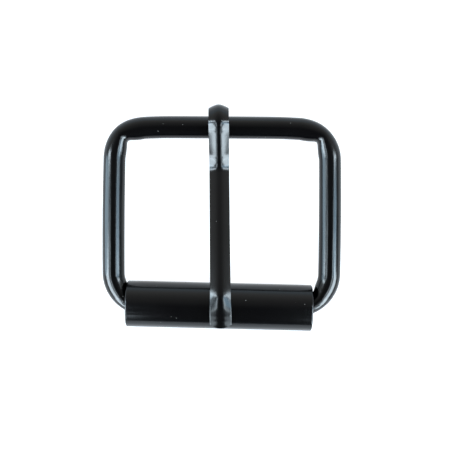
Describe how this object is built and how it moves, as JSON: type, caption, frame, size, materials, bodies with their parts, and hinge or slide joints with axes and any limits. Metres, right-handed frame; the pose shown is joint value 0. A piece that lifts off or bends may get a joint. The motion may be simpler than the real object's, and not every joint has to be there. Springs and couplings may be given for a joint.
{
  "type": "belt buckle",
  "caption": "Heel-bar roller buckle in gloss black steel: a bent wire frame, a half-round tongue curled round the heel bar, and a loose roller that the tongue's tip rests on.",
  "frame": {"origin": "on the floor under the middle of the buckle's box, the buckle lying on its back", "axes": "+Z out of the buckle's face, +Y from the roller towards the heel bar, +X across the strap"},
  "size_m": [0.0492, 0.0464, 0.0118],
  "materials": {
    "frame": "gloss black paint on round steel wire",
    "roller": "gloss black paint on a rolled steel tube",
    "tongue": "gloss black paint on half-round steel wire"
  },
  "bodies": {
    "frame": {"frame": "frame"},
    "roller": {"roller": "roller"},
    "tongue": {"tongue": "tongue"}
  },
  "joints": [
    {"name": "tongue_swing", "type": "hinge", "parent": "frame", "child": "tongue", "pos_m": [-0.00075, 0.01846, 0.00475], "axis": [-0.9998, -0.0175, 0], "range_deg": [0, 338]},
    {"name": "roller_spin", "type": "hinge", "parent": "frame", "child": "roller", "pos_m": [-0.0004, -0.01828, 0.00475], "axis": [0.9998, -0.0175, 0], "continuous": true}
  ]
}
